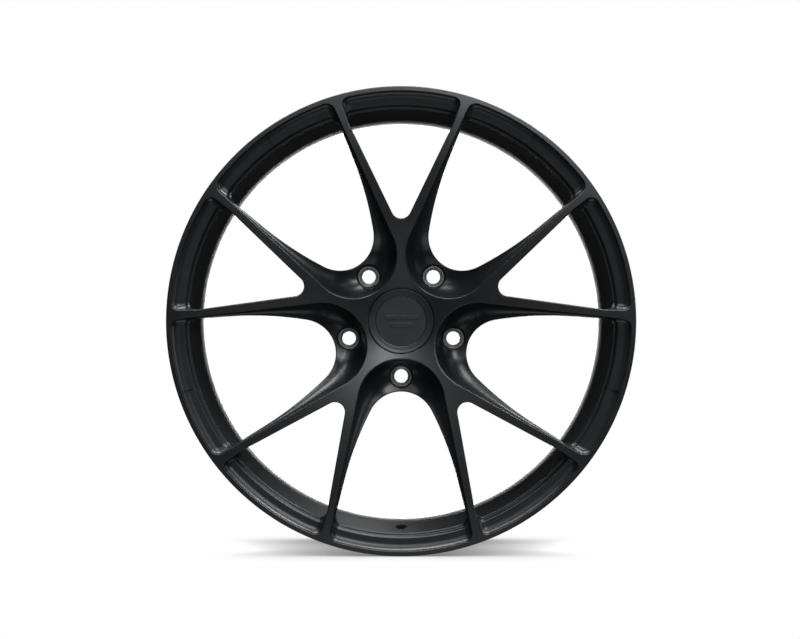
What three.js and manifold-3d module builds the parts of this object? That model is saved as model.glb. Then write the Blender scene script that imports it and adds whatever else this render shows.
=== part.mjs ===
// Forged racing wheel, 20 x 9 J, with five forked spokes and a push-in centre cap.
// Millimetres. The wheel stands upright: its axle is Y, its face looks along -Y, and +Z is up.
// The origin is the centre of the wheel's outer envelope. A "depth" is a distance behind the front plane.
import * as THREE from "three";
import { mergeVertices } from "three/addons/utils/BufferGeometryUtils.js";
import Module from "manifold-3d";

const wasm = await Module();
wasm.setup();

// ---- Driving dimensions ----
const SPOKES = 5;
const TURN = (2 * Math.PI) / SPOKES;
const HALF_TURN = TURN / 2;
const JOIN_GAP = 0.3; // between zones of the forging, and between pieces that touch
const RING_SEGMENTS = 60;
const CAP_SEGMENTS = 32;
const HOLE_SEGMENTS = 16;

const RIM_WIDTH = 254;
const FLANGE_RADIUS = 273.7;
const FLANGE_CURVE = 9.5;
const FLANGE_THICKNESS = 12.7;
const EDGE_BREAK = 0.9;
const BEAD_RADIUS = 256.4;
const BEAD_LENGTH = 17;
const BEAD_TAPER = 1.5;
const HUMP_HEIGHT = 0.9;
const HUMP_LENGTH = 2.5;
const WELL_RADIUS = 239.3;
const WELL_INNER_RADIUS = 234.6;
const WELL_START = 62;
const WELL_END = 110;
const WELL_BLEND = 5;
const BARREL_WALL = 4;
const REAR_BARREL_RADIUS = 252.9; // outside, just in front of the rear bead seat
const REAR_LIP_INNER_RADIUS = 246;
const REAR_LIP_LENGTH = 24;

const DISH_DEPTH = 36; // the face is a dish, this deep at the axle
const CROWN_RADIUS = 225; // where the face is furthest forward
const LIP_FLAT_RADIUS = 270.5; // the lip's front is flat outside this radius
const BOLT_FACE_DEPTH = 77;
const BOLT_CIRCLE_RADIUS = 65;
const BOLT_HOLE_RADIUS = 8;
const BORE_RADIUS = 35.8;
const HUB_RADIUS = 95;
const HUB_PAD_RADIUS = 80;
const HUB_EDGE_DEPTH = 66;
const SPOKE_MID_BACK = { radius: 150, depth: 47 };
const SPOKE_END_BACK_DEPTH = 38;

// Plan outlines
const FORK_LEAN = 0.452; // the fork window's sides lean this far from the fork's axis
const FORK_CROTCH = { centre: 131.3, radius: 11.6 };
const POCKET_LEAN = 0.204;
const POCKET_BOTTOM = { centre: 96.3, radius: 51 };
const GAP_LEAN = 0.2513;
const GAP_BOTTOM = { centre: 123.4, radius: 40.2, halfAngle: 1.1 };
const GAP_SIDE_RADIUS = 389;
const OUTLINE_TOP = 275; // every open outline ends here, beyond the rim

const SEAT_RADIUS = 12.4;
const SEAT_FLOOR_DEPTH = 55;
const SEAT_HEIGHT = 11;
const SEAT_BALL_RADIUS = 14;
const SEAT_MOUTH_RADIUS = 11.2;
const SEAT_BORE_RADIUS = 8.2;
const SEAT_SINK = 0.2; // how far the seat lies below the pocket floor
const FLAT_FLOOR_RADIUS = 85; // the pockets' floor is flat inside this radius

const EDGE_RING_RADIUS = 247.1; // where the spokes end and the outer ring starts
const EDGE_RING_DEPTH = 18;
const OUTER_RING_END = 52;
const OUTER_RING_END_RADIUS = 237.8;
const OUTER_RING_WALL = 5.6;
const BARREL_SLOPE = (EDGE_RING_RADIUS - OUTER_RING_END_RADIUS) / (OUTER_RING_END - EDGE_RING_DEPTH);

// The lip's pockets: a wall, a sloping floor, and a step down to the window's edge.
const LIP_RADIUS = 267.8;
const LIP_WALL_FOOT = { radius: 266, depth: 6.6 };
const LIP_FLOOR = { outer: 263, outerDepth: 8.1, inner: 253, innerDepth: 9.3 };
const LIP_STEP = { outer: 252.2, outerDepth: 10.3, inner: 250, innerDepth: 14 };
const LIP_CORNER = 9.4;
const LIP_OUTLINE_BOTTOM = 225;
const FORK_POCKET = { halfWidth: 59, lean: 0.35 };
const GAP_POCKET = { halfWidth: 77.2, lean: 0.19 };

const CAP_RADIUS = 37.8;
const CAP_SEAT_RADIUS = 39; // leaves a narrow groove around the cap
const CAP_SEAT_DEPTH = 40;
const CAP_EDGE_RING = { radius: 34.2, depth: 0.9, innerDepth: 1.4 }; // the cap's face steepens at its edge
const CAP_FACE_WALL = 2.5;
const SKIRT_CLEARANCE = 0.5;
const CAP_FINGER_END = 57;
const CAP_SKIRT_WALL = 3.6;
const CAP_RING_GROOVE = { depth: 1.9, offset: 1, width: 2.4 };
const CAP_SLOT_WIDTH = 5;
const CAP_SLOTS = 4; // each slot crosses the whole cap, so there are twice as many fingers
const BADGE_RADIUS = 29.4;
const BADGE_THICKNESS = 1.2;
const BADGE_SINK = 0.2;
const BADGE_BARS = [
  { halfLength: 17, height: 4.4 },
  { halfLength: 11, height: -4.4 },
];
const BADGE_BAR_HALF_WIDTH = 2.4;
const BADGE_BAR_RISE = 0.6;
const SPRING_WIRE_RADIUS = 1.1;
const O_RING_RADIUS = 0.85;
const RING_SIDES = 6;

const VALVE_HOLE_RADIUS = 5.65;
const VALVE_SPOT_RADIUS = 7.5;
const VALVE_SPOT_DEPTH = 1.2;
const VALVE_DEPTH = 37;

const PAST = 5; // how far a cutter reaches past the surface that it opens

// Depths behind the front plane become Y.
const yAt = (depth) => depth - RIM_WIDTH / 2;
const dishDepth = (radius) => DISH_DEPTH * (1 - radius / CROWN_RADIUS) ** 2;

// ---- Finishes ----
const blackPaint = new THREE.MeshStandardMaterial({ color: 0x2b2e31, roughness: 0.38, metalness: 0.25 });
const bareSteel = new THREE.MeshStandardMaterial({ color: 0x9fa3a6, roughness: 0.3, metalness: 1 });
const springSteel = new THREE.MeshStandardMaterial({ color: 0x7d8083, roughness: 0.35, metalness: 1 });
const capPlastic = new THREE.MeshStandardMaterial({ color: 0x26292c, roughness: 0.45, metalness: 0 });
const badgePlastic = new THREE.MeshStandardMaterial({ color: 0x2a2e32, roughness: 0.4, metalness: 0 });
const blackRubber = new THREE.MeshStandardMaterial({ color: 0x141414, roughness: 0.8, metalness: 0 });

// ---- Solids and booleans ----
function solidOf(geometry) {
  const bare = geometry.clone();
  bare.deleteAttribute("normal");
  bare.deleteAttribute("uv");
  const merged = mergeVertices(bare, 1e-4);
  const vertProperties = merged.attributes.position.array;
  const triVerts = new Uint32Array(merged.index.array);
  const made = new wasm.Manifold(new wasm.Mesh({ numProp: 3, vertProperties, triVerts }));
  if (made.volume() > 0) {
    return made;
  }
  for (let i = 0; i < triVerts.length; i += 3) {
    [triVerts[i + 1], triVerts[i + 2]] = [triVerts[i + 2], triVerts[i + 1]];
  }
  return new wasm.Manifold(new wasm.Mesh({ numProp: 3, vertProperties, triVerts }));
}

function geometryOf(solid) {
  const mesh = solid.getMesh();
  const geometry = new THREE.BufferGeometry();
  geometry.setAttribute("position", new THREE.BufferAttribute(mesh.vertProperties, mesh.numProp));
  geometry.setIndex(new THREE.BufferAttribute(mesh.triVerts, 1));
  const faceted = geometry.toNonIndexed();
  faceted.computeVertexNormals();
  return faceted;
}

function meshOf(name, solid, material) {
  const mesh = new THREE.Mesh(geometryOf(solid), material);
  mesh.name = name;
  return mesh;
}

const cutAll = (solid, cutters) => cutters.reduce((rest, cutter) => rest.subtract(cutter), solid);

// A ring turned about the axle from a closed profile of [radius, depth] points. A flat facet, not an edge, is
// lowest, and the middle of each facet lies at the stated radius.
function turned(profile, segments = RING_SEGMENTS) {
  const grow = 1 / Math.cos(Math.PI / segments);
  const points = profile.map(([radius, depth]) => new THREE.Vector2(radius * grow, yAt(depth)));
  points.push(points[0].clone());
  const firstAngle = Math.PI / segments;
  return solidOf(new THREE.LatheGeometry(points, segments, firstAngle, 2 * Math.PI));
}

const roundBar = (radius, fromDepth, toDepth, segments) =>
  turned(
    [
      [0, fromDepth],
      [radius, fromDepth],
      [radius, toDepth],
      [0, toDepth],
    ],
    segments,
  );

// A plan outline (X to the right, Z up, seen from the front) cut straight through, between two depths.
function throughCut(shape, fromDepth, toDepth, curveSegments = 12) {
  const options = { depth: toDepth - fromDepth, bevelEnabled: false, curveSegments };
  const geometry = new THREE.ExtrudeGeometry(shape, options);
  geometry.rotateX(Math.PI / 2);
  geometry.translate(0, yAt(toDepth), 0);
  return solidOf(geometry);
}

// A solid turned about the axle from its place at the top of the wheel.
const turnedBy = (solid, angle) => solid.rotate([0, (angle * 180) / Math.PI, 0]);
const everyFork = (solid) => [...Array(SPOKES).keys()].map((i) => turnedBy(solid, i * TURN));
const everyGap = (solid) => [...Array(SPOKES).keys()].map((i) => turnedBy(solid, HALF_TURN + i * TURN));

function arcPoints(centreRadius, centreDepth, size, fromAngle, toAngle, steps) {
  return [...Array(steps + 1).keys()].map((i) => {
    const angle = fromAngle + ((toAngle - fromAngle) * i) / steps;
    return [centreRadius + size * Math.cos(angle), centreDepth + size * Math.sin(angle)];
  });
}

function dishPoints(fromRadius, toRadius, steps) {
  return [...Array(steps + 1).keys()].map((i) => {
    const radius = fromRadius + ((toRadius - fromRadius) * i) / steps;
    return [radius, dishDepth(radius)];
  });
}

// ---- Plan outlines, each drawn with its own axis pointing up ----

// A U-shaped outline: a round bottom, then straight sides that lean outwards from its ends.
function leaningU({ centre, radius }, lean) {
  const endX = radius * Math.cos(lean);
  const endY = centre - radius * Math.sin(lean);
  const topX = endX + (OUTLINE_TOP - endY) * Math.tan(lean);
  const shape = new THREE.Shape();
  shape.moveTo(topX, OUTLINE_TOP);
  shape.lineTo(-topX, OUTLINE_TOP);
  shape.lineTo(-endX, endY);
  shape.absarc(0, centre, radius, Math.PI + lean, 2 * Math.PI - lean, false);
  shape.lineTo(topX, OUTLINE_TOP);
  return shape;
}

// The window inside a fork: a V with a round crotch.
const forkWindow = () => leaningU(FORK_CROTCH, FORK_LEAN);

// The pocket between two forks. It holds one bolt hole and runs up both neighbouring arms.
const pocketOutline = () => leaningU(POCKET_BOTTOM, POCKET_LEAN);

// The window between two forks: a round bottom that opens out through a long curve into leaning sides.
function gapWindow() {
  const { centre, radius, halfAngle } = GAP_BOTTOM;
  const joinX = radius * Math.sin(halfAngle);
  const joinY = centre - radius * Math.cos(halfAngle);
  const sideX = joinX - GAP_SIDE_RADIUS * Math.sin(halfAngle);
  const sideY = joinY + GAP_SIDE_RADIUS * Math.cos(halfAngle);
  const endX = sideX + GAP_SIDE_RADIUS * Math.cos(GAP_LEAN);
  const endY = sideY - GAP_SIDE_RADIUS * Math.sin(GAP_LEAN);
  const topX = endX + (OUTLINE_TOP - endY) * Math.tan(GAP_LEAN);
  const leftJoin = 1.5 * Math.PI - halfAngle;
  const rightJoin = 1.5 * Math.PI + halfAngle;
  const shape = new THREE.Shape();
  shape.moveTo(topX, OUTLINE_TOP);
  shape.lineTo(-topX, OUTLINE_TOP);
  shape.lineTo(-endX, endY);
  shape.absarc(-sideX, sideY, GAP_SIDE_RADIUS, Math.PI + GAP_LEAN, leftJoin, false);
  shape.absarc(0, centre, radius, leftJoin, rightJoin, false);
  shape.absarc(sideX, sideY, GAP_SIDE_RADIUS, rightJoin, 2 * Math.PI - GAP_LEAN, false);
  shape.lineTo(topX, OUTLINE_TOP);
  return shape;
}

// A pocket in the lip: leaning sides, and two corners rounded by circles that touch a side and the top arc.
function lipPocket({ halfWidth, lean }) {
  const startX = halfWidth - LIP_CORNER / Math.cos(lean);
  const startY = LIP_OUTLINE_BOTTOM;
  const along = startX * Math.sin(lean) + startY * Math.cos(lean);
  const reach = (LIP_RADIUS - LIP_CORNER) ** 2 - startX ** 2 - startY ** 2;
  const climb = Math.sqrt(along ** 2 + reach) - along;
  const cornerX = startX + climb * Math.sin(lean);
  const cornerY = startY + climb * Math.cos(lean);
  const topAngle = Math.atan2(cornerY, cornerX);
  const shape = new THREE.Shape();
  shape.moveTo(halfWidth, LIP_OUTLINE_BOTTOM);
  shape.absarc(cornerX, cornerY, LIP_CORNER, -lean, topAngle, false);
  shape.absarc(0, 0, LIP_RADIUS, topAngle, Math.PI - topAngle, false);
  shape.absarc(-cornerX, cornerY, LIP_CORNER, Math.PI - topAngle, Math.PI + lean, false);
  shape.lineTo(-halfWidth, LIP_OUTLINE_BOTTOM);
  shape.lineTo(halfWidth, LIP_OUTLINE_BOTTOM);
  return shape;
}

// ---- Cutters shared by several pieces ----
const forkWindows = everyFork(throughCut(forkWindow(), -PAST, BOLT_FACE_DEPTH + PAST, 8));
const gapWindows = everyGap(throughCut(gapWindow(), -PAST, BOLT_FACE_DEPTH + PAST, 6));

// The pockets' floor is flat around the bolt holes, then a cone that climbs to the outer ring.
const pocketSpace = turned([
  [BORE_RADIUS - PAST, -PAST],
  [EDGE_RING_RADIUS, -PAST],
  [EDGE_RING_RADIUS, EDGE_RING_DEPTH - JOIN_GAP],
  [FLAT_FLOOR_RADIUS, SEAT_FLOOR_DEPTH],
  [BORE_RADIUS - PAST, SEAT_FLOOR_DEPTH],
]);
const pocketPrism = throughCut(pocketOutline(), -PAST, BOLT_FACE_DEPTH, 14);
const armPockets = everyGap(pocketSpace.intersect(pocketPrism));

// ---- The forging, zone by zone ----
function outerFlange() {
  const seatStart = FLANGE_THICKNESS + EDGE_BREAK;
  const seatEnd = FLANGE_THICKNESS + BEAD_LENGTH;
  const seatEndRadius = BEAD_RADIUS - BEAD_TAPER;
  const curveCentre = FLANGE_RADIUS - FLANGE_CURVE;
  const lipDepth = dishDepth(LIP_FLAT_RADIUS);
  const blank = turned([
    ...dishPoints(EDGE_RING_RADIUS, LIP_FLAT_RADIUS, 2),
    [FLANGE_RADIUS - EDGE_BREAK, lipDepth],
    [FLANGE_RADIUS, lipDepth + EDGE_BREAK],
    ...arcPoints(curveCentre, FLANGE_THICKNESS - FLANGE_CURVE, FLANGE_CURVE, 0, Math.PI / 2, 3),
    [BEAD_RADIUS + EDGE_BREAK, FLANGE_THICKNESS],
    [BEAD_RADIUS, seatStart],
    [seatEndRadius, seatEnd],
    [seatEndRadius + HUMP_HEIGHT, seatEnd + HUMP_LENGTH],
    [seatEndRadius - HUMP_HEIGHT, seatEnd + 2 * HUMP_LENGTH],
    [OUTER_RING_END_RADIUS + OUTER_RING_WALL, OUTER_RING_END - JOIN_GAP],
    [OUTER_RING_END_RADIUS, OUTER_RING_END - JOIN_GAP],
    [EDGE_RING_RADIUS, EDGE_RING_DEPTH],
  ]);
  const pocketFloor = turned([
    [EDGE_RING_RADIUS - PAST, -PAST],
    [LIP_RADIUS, -PAST],
    [LIP_RADIUS, dishDepth(LIP_RADIUS) + EDGE_BREAK],
    [LIP_WALL_FOOT.radius, LIP_WALL_FOOT.depth],
    [LIP_FLOOR.outer, LIP_FLOOR.outerDepth],
    [LIP_FLOOR.inner, LIP_FLOOR.innerDepth],
    [LIP_STEP.outer, LIP_STEP.outerDepth],
    [LIP_STEP.inner, LIP_STEP.innerDepth],
    [EDGE_RING_RADIUS - PAST, LIP_STEP.innerDepth + EDGE_BREAK],
  ]);
  const prismOf = (pocket) => throughCut(lipPocket(pocket), -PAST, EDGE_RING_DEPTH, 4);
  const prisms = [...everyFork(prismOf(FORK_POCKET)), ...everyGap(prismOf(GAP_POCKET))];
  const pockets = prisms.map((prism) => prism.intersect(pocketFloor));
  return cutAll(blank, [...pockets, ...valveHole()]);
}

// The valve hole lies straight below the axle, square to the barrel's sloping inside wall, with a spot face.
function valveHole() {
  const wallRadius = EDGE_RING_RADIUS - BARREL_SLOPE * (VALVE_DEPTH - EDGE_RING_DEPTH);
  const tilt = 90 + THREE.MathUtils.radToDeg(Math.atan(BARREL_SLOPE));
  const barAt = (radius, reach) =>
    roundBar(radius, -reach, 3 * PAST, HOLE_SEGMENTS)
      .translate([0, -yAt(0), 0])
      .rotate([tilt, 0, 0])
      .translate([0, yAt(VALVE_DEPTH), -wallRadius]);
  return [barAt(VALVE_HOLE_RADIUS, 6 * PAST), barAt(VALVE_SPOT_RADIUS, VALVE_SPOT_DEPTH)];
}

const wellBlendEnd = WELL_END + WELL_BLEND;
const wellBlendRadius = WELL_RADIUS + WELL_BLEND / 3;
const rearSeatStart = RIM_WIDTH - FLANGE_THICKNESS - BEAD_LENGTH;
const barrelEnd = rearSeatStart - 3 * HUMP_LENGTH;

function dropCentre() {
  return turned([
    [OUTER_RING_END_RADIUS, OUTER_RING_END],
    [OUTER_RING_END_RADIUS + OUTER_RING_WALL, OUTER_RING_END],
    [WELL_RADIUS, WELL_START],
    [WELL_RADIUS, WELL_END],
    [wellBlendRadius, wellBlendEnd],
    [wellBlendRadius - BARREL_WALL, wellBlendEnd],
    [WELL_INNER_RADIUS, WELL_END],
    [WELL_INNER_RADIUS, WELL_START + 2 * WELL_BLEND],
  ]);
}

function innerBarrel() {
  const midDepth = (wellBlendEnd + 2 * barrelEnd) / 3;
  return turned([
    [wellBlendRadius - BARREL_WALL, wellBlendEnd + JOIN_GAP],
    [wellBlendRadius, wellBlendEnd + JOIN_GAP],
    [REAR_BARREL_RADIUS - BEAD_TAPER, midDepth],
    [REAR_BARREL_RADIUS, barrelEnd],
    [REAR_BARREL_RADIUS - BARREL_WALL, barrelEnd],
    [REAR_BARREL_RADIUS - BEAD_TAPER - BARREL_WALL, midDepth],
  ]);
}

function innerFlange() {
  const curveCentre = FLANGE_RADIUS - FLANGE_CURVE;
  const curveDepth = RIM_WIDTH - FLANGE_THICKNESS + FLANGE_CURVE;
  const seatEndRadius = BEAD_RADIUS - BEAD_TAPER;
  return turned([
    [REAR_BARREL_RADIUS - BARREL_WALL, barrelEnd + JOIN_GAP],
    [REAR_BARREL_RADIUS, barrelEnd + JOIN_GAP],
    [seatEndRadius + HUMP_HEIGHT, rearSeatStart - HUMP_LENGTH],
    [seatEndRadius, rearSeatStart],
    [BEAD_RADIUS, RIM_WIDTH - FLANGE_THICKNESS],
    ...arcPoints(curveCentre, curveDepth, FLANGE_CURVE, -Math.PI / 2, 0, 3),
    [FLANGE_RADIUS, RIM_WIDTH],
    [FLANGE_RADIUS - FLANGE_CURVE / 2, RIM_WIDTH],
    [FLANGE_RADIUS - FLANGE_CURVE, RIM_WIDTH - FLANGE_CURVE / 2],
    [REAR_LIP_INNER_RADIUS, RIM_WIDTH - FLANGE_CURVE],
    [REAR_LIP_INNER_RADIUS, RIM_WIDTH - REAR_LIP_LENGTH],
  ]);
}

function hub() {
  const blank = turned([
    [BORE_RADIUS, CAP_SEAT_DEPTH],
    [CAP_SEAT_RADIUS, CAP_SEAT_DEPTH],
    ...dishPoints(CAP_SEAT_RADIUS, HUB_RADIUS, 3),
    [HUB_RADIUS, HUB_EDGE_DEPTH],
    [HUB_PAD_RADIUS, BOLT_FACE_DEPTH],
    [BORE_RADIUS + EDGE_BREAK, BOLT_FACE_DEPTH],
    [BORE_RADIUS, BOLT_FACE_DEPTH - EDGE_BREAK],
  ]);
  const counterboreEnd = SEAT_FLOOR_DEPTH + SEAT_HEIGHT + JOIN_GAP;
  const boltHole = roundBar(BOLT_HOLE_RADIUS, 0, BOLT_FACE_DEPTH + PAST, HOLE_SEGMENTS);
  const counterboreStart = SEAT_FLOOR_DEPTH - PAST;
  const counterbore = roundBar(SEAT_RADIUS + JOIN_GAP, counterboreStart, counterboreEnd, HOLE_SEGMENTS);
  const steppedHole = boltHole.add(counterbore).translate([0, 0, BOLT_CIRCLE_RADIUS]);
  return cutAll(blank, [...gapWindows, ...armPockets, ...everyGap(steppedHole)]);
}

// The five forks are turned as one ring and cut apart by the windows. Their ends follow the outer ring's
// inside, one join gap away.
function spokes() {
  const endRadius = EDGE_RING_RADIUS - JOIN_GAP;
  const endBackRadius = endRadius - BARREL_SLOPE * (SPOKE_END_BACK_DEPTH - EDGE_RING_DEPTH) - JOIN_GAP / 10;
  const ring = turned([
    [HUB_RADIUS + JOIN_GAP, HUB_EDGE_DEPTH],
    ...dishPoints(HUB_RADIUS + JOIN_GAP, CROWN_RADIUS, 5),
    [endRadius, dishDepth(endRadius)],
    [endRadius, EDGE_RING_DEPTH],
    [endBackRadius, SPOKE_END_BACK_DEPTH],
    [SPOKE_MID_BACK.radius, SPOKE_MID_BACK.depth],
  ]);
  const pieces = cutAll(ring, [...forkWindows, ...gapWindows, ...armPockets]).decompose();
  const angleOf = (solid) => {
    const box = solid.boundingBox();
    const angle = Math.atan2(box.min[0] + box.max[0], box.min[2] + box.max[2]);
    return (angle + HALF_TURN + 2 * Math.PI) % (2 * Math.PI);
  };
  return pieces.sort((a, b) => angleOf(a) - angleOf(b));
}

// ---- Ball seats for the wheel bolts ----
function lugSeat() {
  const top = SEAT_FLOOR_DEPTH + SEAT_SINK;
  const floor = SEAT_FLOOR_DEPTH + SEAT_HEIGHT;
  const ballAt = (radius) => Math.sqrt(SEAT_BALL_RADIUS ** 2 - radius ** 2);
  const bowlPoint = (radius) => [radius, top + EDGE_BREAK + ballAt(radius) - ballAt(SEAT_MOUTH_RADIUS)];
  const profile = [
    [SEAT_BORE_RADIUS, floor],
    bowlPoint(SEAT_BORE_RADIUS),
    bowlPoint((SEAT_BORE_RADIUS + SEAT_MOUTH_RADIUS) / 2),
    bowlPoint(SEAT_MOUTH_RADIUS),
    [SEAT_MOUTH_RADIUS + EDGE_BREAK / 2, top],
    [SEAT_RADIUS, top],
    [SEAT_RADIUS, floor],
  ];
  return turned(profile, HOLE_SEGMENTS).translate([0, 0, BOLT_CIRCLE_RADIUS]);
}

// ---- Centre cap ----
const capFace = dishDepth(CAP_RADIUS);
const capBack = CAP_SEAT_DEPTH - JOIN_GAP;
const badgeTop = capFace + CAP_EDGE_RING.innerDepth + BADGE_SINK;
const badgeBack = badgeTop + BADGE_THICKNESS;
const skirtOuter = BORE_RADIUS - SKIRT_CLEARANCE;
const skirtInner = skirtOuter - CAP_SKIRT_WALL;

function capBody() {
  const badgeFloor = badgeBack + JOIN_GAP;
  const badgeWall = BADGE_RADIUS + JOIN_GAP;
  const ceiling = badgeFloor + CAP_FACE_WALL;
  const grooveRadius = skirtOuter - CAP_RING_GROOVE.depth;
  const grooveStart = capBack + CAP_RING_GROOVE.offset;
  const grooveEnd = grooveStart + CAP_RING_GROOVE.width;
  const blank = turned(
    [
      [0, badgeFloor],
      [badgeWall, badgeFloor],
      [badgeWall, capFace + CAP_EDGE_RING.innerDepth],
      [CAP_EDGE_RING.radius, capFace + CAP_EDGE_RING.depth],
      [CAP_RADIUS - EDGE_BREAK, capFace],
      [CAP_RADIUS, capFace + EDGE_BREAK],
      [CAP_RADIUS, capBack],
      [skirtOuter, capBack],
      [skirtOuter, grooveStart],
      [grooveRadius, grooveStart],
      [grooveRadius, grooveEnd],
      [skirtOuter, grooveEnd],
      [skirtOuter, CAP_FINGER_END - 2 * EDGE_BREAK],
      [skirtOuter - EDGE_BREAK, CAP_FINGER_END],
      [skirtInner, CAP_FINGER_END],
      [skirtInner, ceiling],
      [0, ceiling],
    ],
    CAP_SEGMENTS,
  );
  const slotStart = grooveEnd + EDGE_BREAK;
  const slotLength = CAP_FINGER_END + PAST - slotStart;
  const slot = new THREE.BoxGeometry(CAP_SLOT_WIDTH, slotLength, 2 * CAP_RADIUS);
  slot.translate(0, yAt(slotStart) + slotLength / 2, 0);
  const cutter = solidOf(slot);
  const cutters = [...Array(CAP_SLOTS).keys()].map((i) => cutter.rotate([0, (180 * i) / CAP_SLOTS, 0]));
  return cutAll(blank, cutters);
}

// The badge disc carries two plain bars with round ends.
function capBadge() {
  const disc = turned(
    [
      [0, badgeTop],
      [BADGE_RADIUS - BADGE_SINK, badgeTop],
      [BADGE_RADIUS, badgeTop + BADGE_SINK],
      [BADGE_RADIUS, badgeBack],
      [0, badgeBack],
    ],
    CAP_SEGMENTS,
  );
  const bars = BADGE_BARS.map(({ halfLength, height }) => {
    const shape = new THREE.Shape();
    shape.absarc(halfLength, height, BADGE_BAR_HALF_WIDTH, -Math.PI / 2, Math.PI / 2, false);
    shape.absarc(-halfLength, height, BADGE_BAR_HALF_WIDTH, Math.PI / 2, 1.5 * Math.PI, false);
    shape.lineTo(halfLength, height - BADGE_BAR_HALF_WIDTH);
    return throughCut(shape, badgeTop - BADGE_BAR_RISE, badgeTop + BADGE_SINK, 6);
  });
  return bars.reduce((whole, bar) => whole.add(bar), disc);
}

function roundRing(centreRadius, centreDepth, wireRadius) {
  const circle = arcPoints(centreRadius, centreDepth, wireRadius, 0, 2 * Math.PI, RING_SIDES);
  return turned(circle.slice(0, -1), CAP_SEGMENTS);
}

function springRing() {
  const centreRadius = skirtInner - SPRING_WIRE_RADIUS - JOIN_GAP;
  return roundRing(centreRadius, CAP_FINGER_END - 3 * SPRING_WIRE_RADIUS, SPRING_WIRE_RADIUS);
}

function oRing() {
  const { offset, width } = CAP_RING_GROOVE;
  return roundRing(skirtOuter - O_RING_RADIUS, capBack + offset + width / 2, O_RING_RADIUS);
}

// ---- The wheel ----
const wheel = new THREE.Group();
wheel.name = "wheel";
wheel.add(meshOf("outer_flange", outerFlange(), blackPaint));
wheel.add(meshOf("drop_centre", dropCentre(), blackPaint));
wheel.add(meshOf("inner_barrel", innerBarrel(), blackPaint));
wheel.add(meshOf("inner_flange", innerFlange(), blackPaint));
wheel.add(meshOf("hub", hub(), blackPaint));
spokes().forEach((spoke, i) => wheel.add(meshOf(`spoke_${i + 1}`, spoke, blackPaint)));
everyGap(lugSeat()).forEach((seat, i) => wheel.add(meshOf(`lug_seat_${i + 1}`, seat, bareSteel)));

const cap = new THREE.Group();
cap.name = "cap";
cap.add(meshOf("cap_body", capBody(), capPlastic));
cap.add(meshOf("cap_badge", capBadge(), badgePlastic));
cap.add(meshOf("cap_spring_ring", springRing(), springSteel));
cap.add(meshOf("cap_o_ring", oRing(), blackRubber));

const root = new THREE.Group();
root.name = "forged_wheel";
root.add(wheel, cap);
export default root;
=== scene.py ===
"""The looks of a forged racing wheel: satin black forging, steel lug seats and a pull-off centre cap.

The forging is drawn in plan, as the wheel is seen from the front, in a wedge that runs from the middle of a
fork to the middle of the gap beside it. Every point of the plan gets a depth, and ten mirrored and turned
copies of the wedge make the wheel. Sizes are in millimetres until a mesh is made. A depth is a distance
behind the wheel's front plane, and (x, z) are plan coordinates, with the axle at (0, 0) and z up.
"""

import math

import bpy
import numpy as np
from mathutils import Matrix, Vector
from mathutils.geometry import delaunay_2d_cdt


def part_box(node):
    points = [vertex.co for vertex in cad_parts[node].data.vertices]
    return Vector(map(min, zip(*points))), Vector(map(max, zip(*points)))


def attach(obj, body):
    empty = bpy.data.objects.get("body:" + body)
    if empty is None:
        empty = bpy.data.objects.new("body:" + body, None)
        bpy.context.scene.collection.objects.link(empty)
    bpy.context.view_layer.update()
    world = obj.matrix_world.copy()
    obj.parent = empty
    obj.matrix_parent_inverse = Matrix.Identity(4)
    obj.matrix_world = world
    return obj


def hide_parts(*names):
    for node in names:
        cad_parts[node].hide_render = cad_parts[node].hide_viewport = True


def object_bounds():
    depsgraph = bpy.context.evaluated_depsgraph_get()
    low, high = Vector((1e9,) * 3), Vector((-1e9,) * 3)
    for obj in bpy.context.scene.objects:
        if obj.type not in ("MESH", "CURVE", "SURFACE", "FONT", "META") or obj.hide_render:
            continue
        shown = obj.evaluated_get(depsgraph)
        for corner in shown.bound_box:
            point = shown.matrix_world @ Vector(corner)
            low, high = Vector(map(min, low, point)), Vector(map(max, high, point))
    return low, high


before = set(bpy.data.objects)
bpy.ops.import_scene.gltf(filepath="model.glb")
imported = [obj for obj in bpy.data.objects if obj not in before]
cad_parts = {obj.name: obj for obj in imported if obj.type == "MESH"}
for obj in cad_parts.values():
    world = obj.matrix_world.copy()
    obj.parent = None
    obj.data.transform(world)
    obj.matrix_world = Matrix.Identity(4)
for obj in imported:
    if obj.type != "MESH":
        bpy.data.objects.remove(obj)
cad_box = [list(corner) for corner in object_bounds()]

# ---------------------------------------------------------------- sizes taken from the CAD model

MM = 0.001


def size_of(node):
    """A CAD node's lowest and highest corner in millimetres."""
    low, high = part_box(node)
    return np.array(low) / MM, np.array(high) / MM


_, flange_high = size_of("outer_flange")
rear_low, rear_high = size_of("inner_flange")
well_low, _ = size_of("drop_centre")
_, hub_high = size_of("hub")
seat_low, seat_high = size_of("lug_seat_3")
cap_low, cap_high = size_of("cap_body")
_, badge_high = size_of("cap_badge")
spring_low, spring_high = size_of("cap_spring_ring")
o_ring_low, o_ring_high = size_of("cap_o_ring")

FRONT = cad_box[0][1] / MM
RIM_RADIUS = flange_high[2]
RIM_WIDTH = rear_high[1] - FRONT
RING_END = well_low[1] - FRONT
REAR_START = rear_low[1] - FRONT
HUB_RADIUS = hub_high[2]
BOLT_FACE = hub_high[1] - FRONT
BOLT_CIRCLE = -(seat_low[2] + seat_high[2]) / 2
SEAT_RADIUS = (seat_high[0] - seat_low[0]) / 2
SEAT_TOP = seat_low[1] - FRONT
SEAT_BACK = seat_high[1] - FRONT
CAP_RADIUS = cap_high[2]
CAP_FACE = cap_low[1] - FRONT
CAP_END = cap_high[1] - FRONT
BADGE_RADIUS = badge_high[2]
BADGE_BACK = badge_high[1] - FRONT
SPRING_DEPTH = (spring_low[1] + spring_high[1]) / 2 - FRONT
SPRING_WIRE = (spring_high[1] - spring_low[1]) / 2
SPRING_RADIUS = spring_high[2] - SPRING_WIRE
O_RING_DEPTH = (o_ring_low[1] + o_ring_high[1]) / 2 - FRONT
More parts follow.
